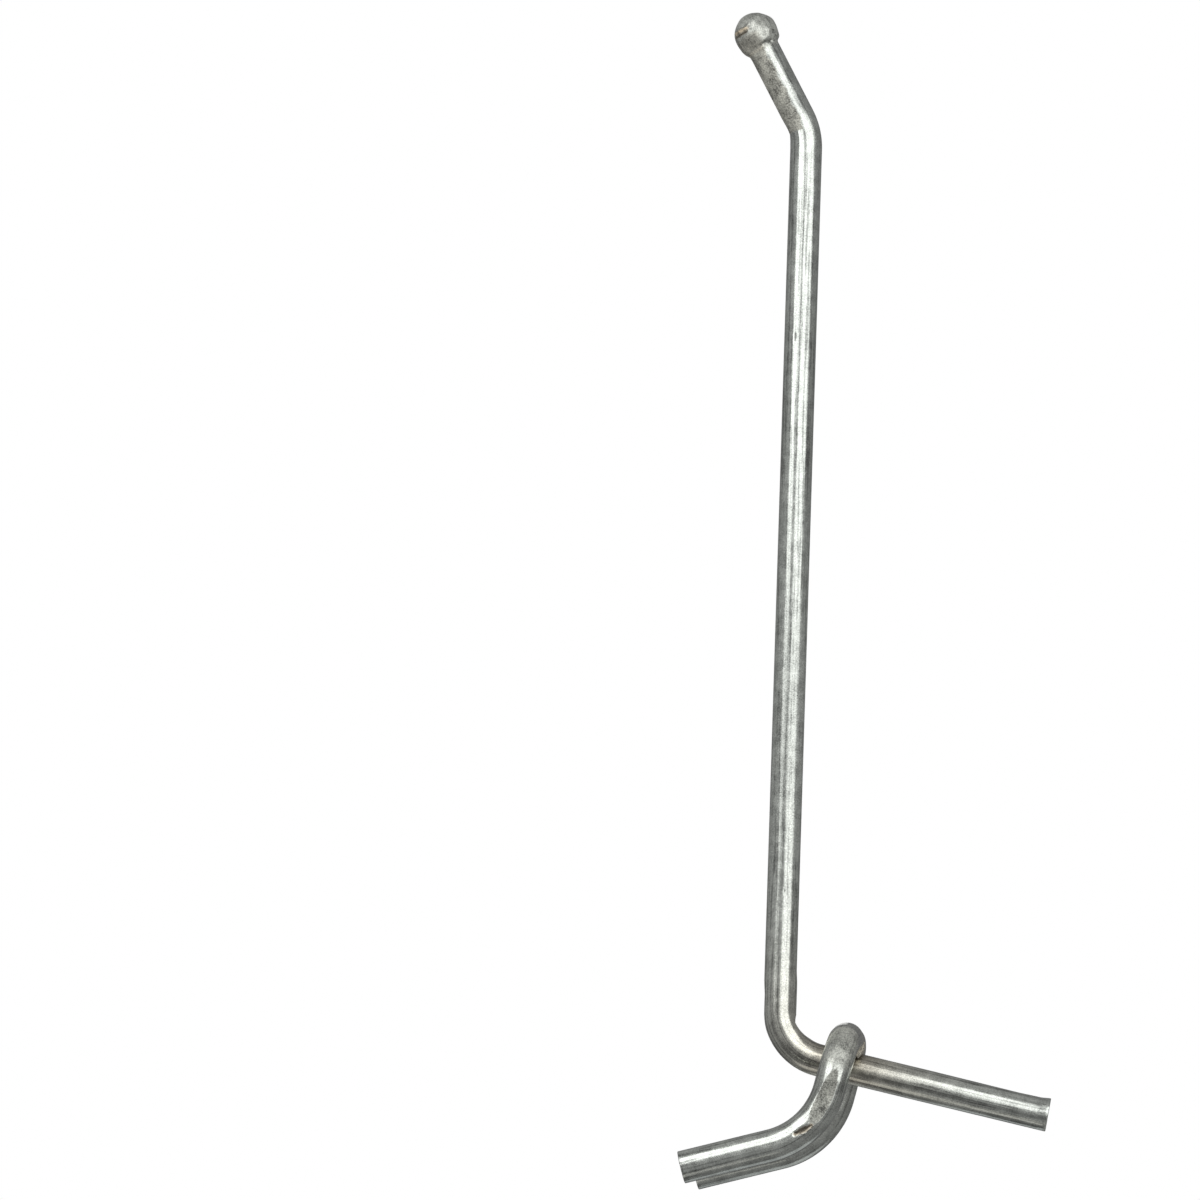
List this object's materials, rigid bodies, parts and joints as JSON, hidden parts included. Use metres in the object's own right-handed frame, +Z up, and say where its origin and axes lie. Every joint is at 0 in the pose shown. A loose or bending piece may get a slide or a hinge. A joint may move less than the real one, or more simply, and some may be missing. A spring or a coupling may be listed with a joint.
{
  "type": "pegboard hook",
  "caption": "Double-prong pegboard hook of bent steel wire: a rising ball-tipped arm with a leg that bears on the board, welded to a U-shaped bracket whose prongs hook into the holes.",
  "frame": {"origin": "midway between the two prongs, where they cross the board's front face", "axes": "+Z up, +X along the board, +Y into the board, whose front face is Y = 0; the arm reaches towards -Y"},
  "size_m": [0.0288, 0.1272, 0.0612],
  "materials": {
    "zinc_wire": "bright zinc plating on drawn steel wire"
  },
  "bodies": {
    "root": {"load_arm": "zinc_wire", "prong_bracket": "zinc_wire"}
  },
  "joints": []
}
